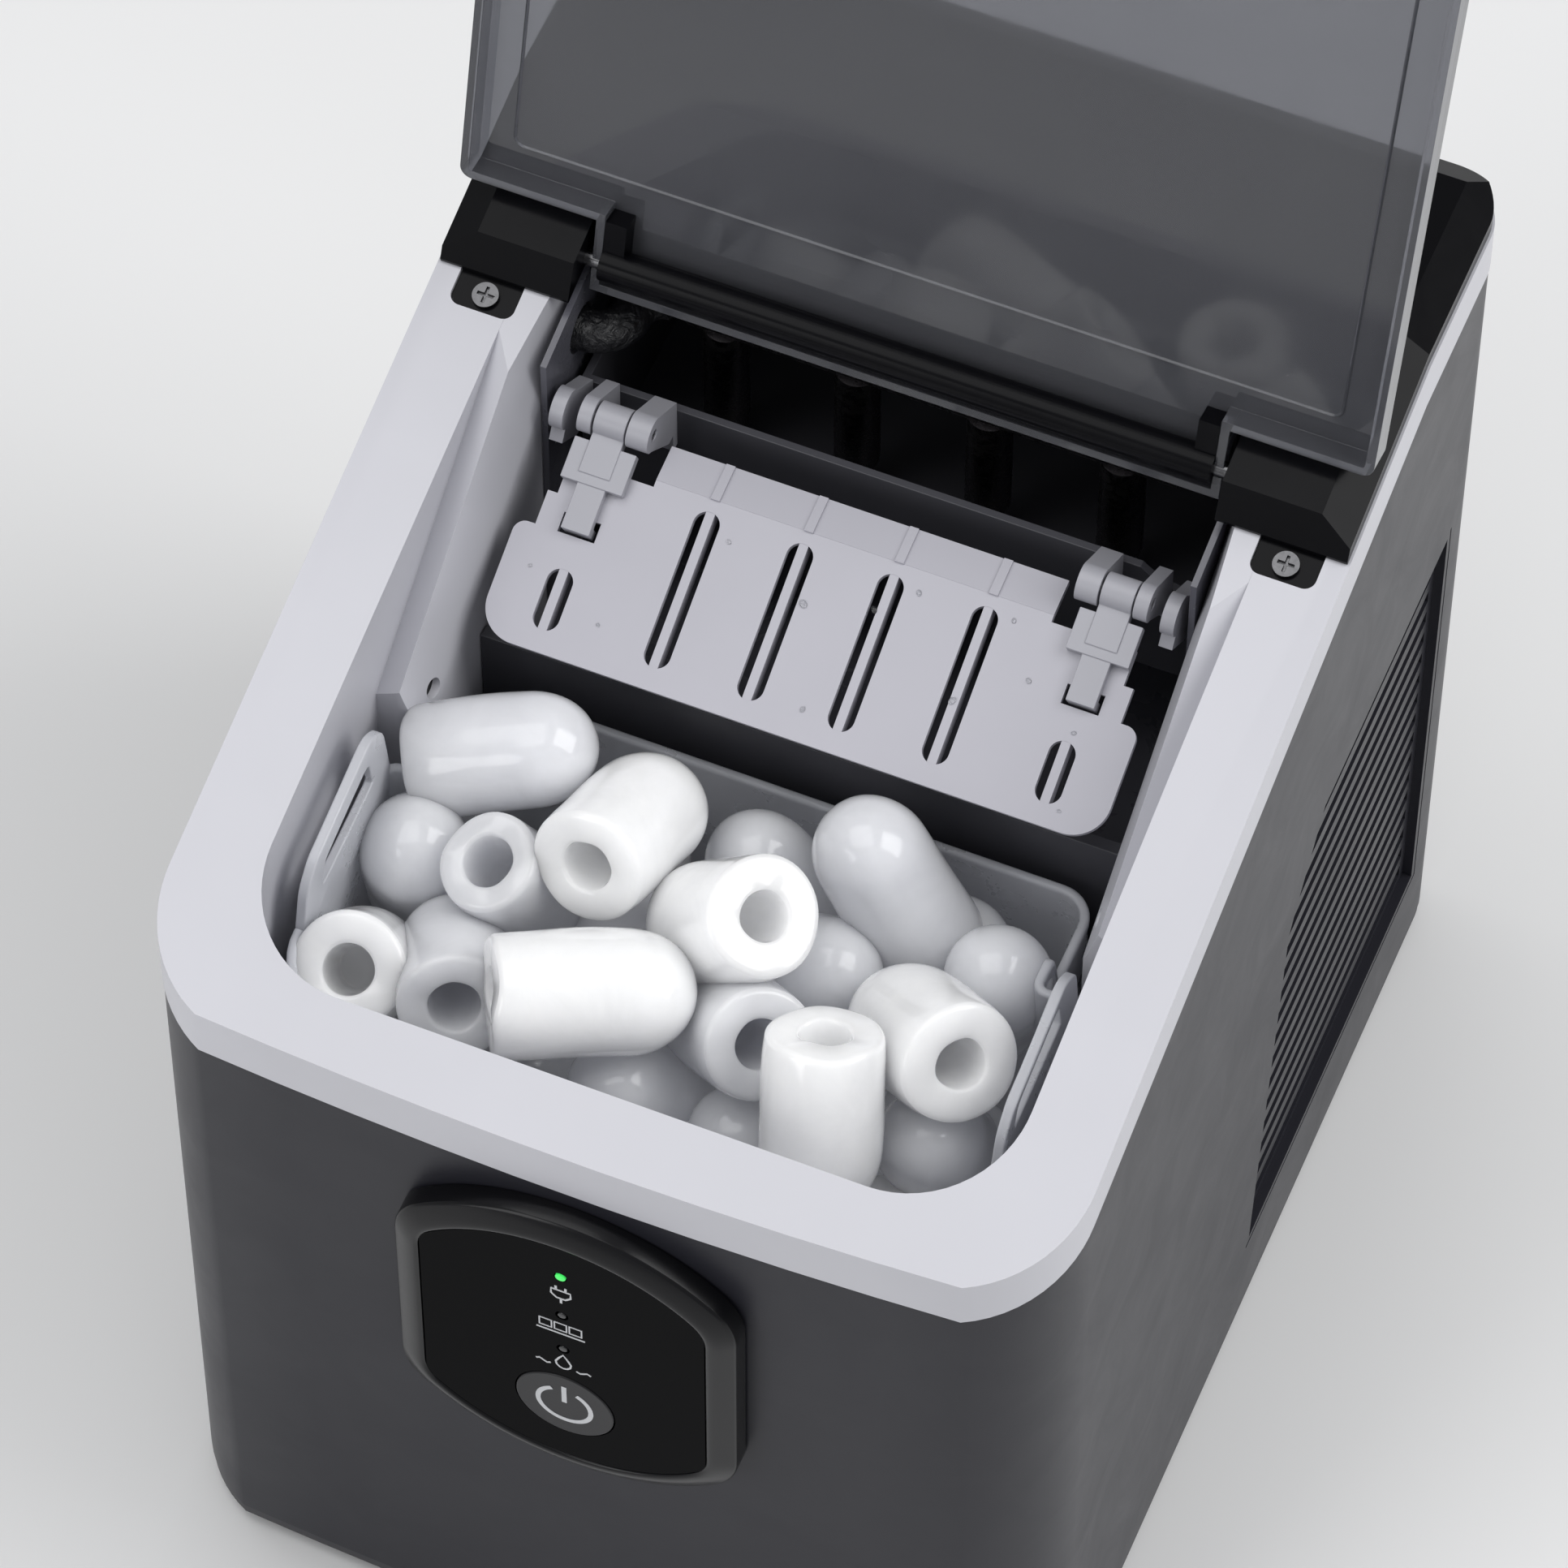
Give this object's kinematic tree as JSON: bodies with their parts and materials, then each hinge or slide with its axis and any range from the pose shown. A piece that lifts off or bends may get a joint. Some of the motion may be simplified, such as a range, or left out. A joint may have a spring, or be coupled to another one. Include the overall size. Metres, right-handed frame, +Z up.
{
  "type": "ice maker",
  "caption": "Countertop bullet-ice maker in grey plastic, its smoked lid standing open over the basket, shovel and water tray",
  "frame": {"origin": "on the worktop under the middle of the whole machine's depth and width", "axes": "X runs across the machine to the right as one faces its control panel, Y runs from the control panel to the rear panel, Z is up"},
  "size_m": [0.224, 0.2994, 0.4796],
  "materials": {
    "dark_plastic": "satin",
    "black_plastic": "satin",
    "silver_plastic": "satin",
    "grey_plastic": "satin",
    "white_plastic": "matte",
    "white_foam": "matte",
    "blue_plastic": "satin",
    "soft_hose": "satin",
    "black_rubber": "matte",
    "gloss_black": "polished",
    "light_lens": "polished",
    "circuit_green": "satin",
    "copper": "satin",
    "plated_metal": "satin",
    "screw_steel": "satin",
    "sheet_steel": "brushed",
    "black_paint": "satin",
    "aluminium": "satin",
    "smoked_clear": "polished",
    "frosted_clear": "satin"
  },
  "bodies": {
    "casing": {"base_pan": "dark_plastic", "rubber_feet": "black_rubber", "body_shell": "dark_plastic", "rear_panel": "dark_plastic", "rear_panel_screws": "screw_steel", "side_vent_grille_right": "dark_plastic", "side_vent_grille_left": "dark_plastic", "tub_liner": "silver_plastic", "tub_insulation": "white_foam", "chamber_liner": "black_plastic", "chamber_partition": "black_plastic", "rear_top_cover": "black_plastic", "cover_screws": "screw_steel", "control_bezel": "black_plastic", "control_panel": "gloss_black", "indicator_lights": "light_lens", "control_board": "circuit_green", "power_switch": "black_plastic", "ice_sensor_emitter": "gloss_black", "ice_sensor_receiver": "gloss_black", "evaporator_manifold": "plated_metal", "evaporator_fingers": "plated_metal", "evaporator_bracket": "black_plastic", "feed_tube": "copper", "suction_tube": "copper", "tube_insulation": "black_rubber", "compressor_shell": "black_paint", "compressor_base_plate": "sheet_steel", "compressor_grommets": "black_rubber", "compressor_terminal_cover": "black_plastic", "discharge_tube": "copper", "filter_drier": "copper", "hot_gas_valve": "blue_plastic", "condenser_coil": "copper", "condenser_fins": "aluminium", "fan_shroud": "black_plastic", "fan_motor": "black_paint", "water_pump": "black_plastic", "pump_hose": "soft_hose", "tilt_gearmotor": "black_paint", "main_circuit_board": "circuit_green", "drain_port": "dark_plastic", "cord_gland": "black_plastic"},
    "lid_body": {"lid": "smoked_clear", "lid_hinge_bar": "black_plastic", "lid_hinge_pins": "screw_steel"},
    "basket_body": {"ice_basket": "frosted_clear"},
    "tray_body": {"water_tray": "black_plastic", "tray_arms": "grey_plastic", "tray_drive_shaft": "screw_steel", "tray_pivot_pin": "screw_steel", "shovel_pins": "screw_steel"},
    "shovel_body": {"ice_shovel": "grey_plastic", "shovel_clips": "grey_plastic"},
    "button_body": {"power_button": "black_plastic"},
    "fan_body": {"fan_blade": "white_plastic"},
    "plug_body": {"drain_plug": "black_rubber"}
  },
  "joints": [
    {"name": "lid_hinge", "type": "hinge", "parent": "casing", "child": "lid_body", "pos_m": [0, 0.05424, 0.28345], "axis": [1, 0, 0], "range_deg": [0, 118]},
    {"name": "basket_lift", "type": "slide", "parent": "casing", "child": "basket_body", "axis": [0, 0, 1], "range_m": [0, 0.016]},
    {"name": "tray_tilt", "type": "hinge", "parent": "casing", "child": "tray_body", "pos_m": [0, 0.09375, 0.256], "axis": [1, 0, 0], "range_deg": [0, 50]},
    {"name": "shovel_swing", "type": "hinge", "parent": "tray_body", "child": "shovel_body", "pos_m": [0, 0.03056, 0.25792], "axis": [1, 0, 0], "range_deg": [-100, 0]},
    {"name": "button_press", "type": "slide", "parent": "casing", "child": "button_body", "axis": [0, 1, 0], "range_m": [0, 0.0008], "stiffness_N_per_m": 400, "springref_m": -0.0005},
    {"name": "fan_spin", "type": "hinge", "parent": "casing", "child": "fan_body", "pos_m": [0.071, 0.06975, 0.088], "axis": [1, 0, 0], "continuous": true},
    {"name": "plug_pull", "type": "slide", "parent": "casing", "child": "plug_body", "axis": [0, 1, 0], "range_m": [0, 0.012]}
  ],
  "couplings": [
    {"joint": "shovel_swing", "follows": "tray_tilt", "ratio": -2}
  ]
}
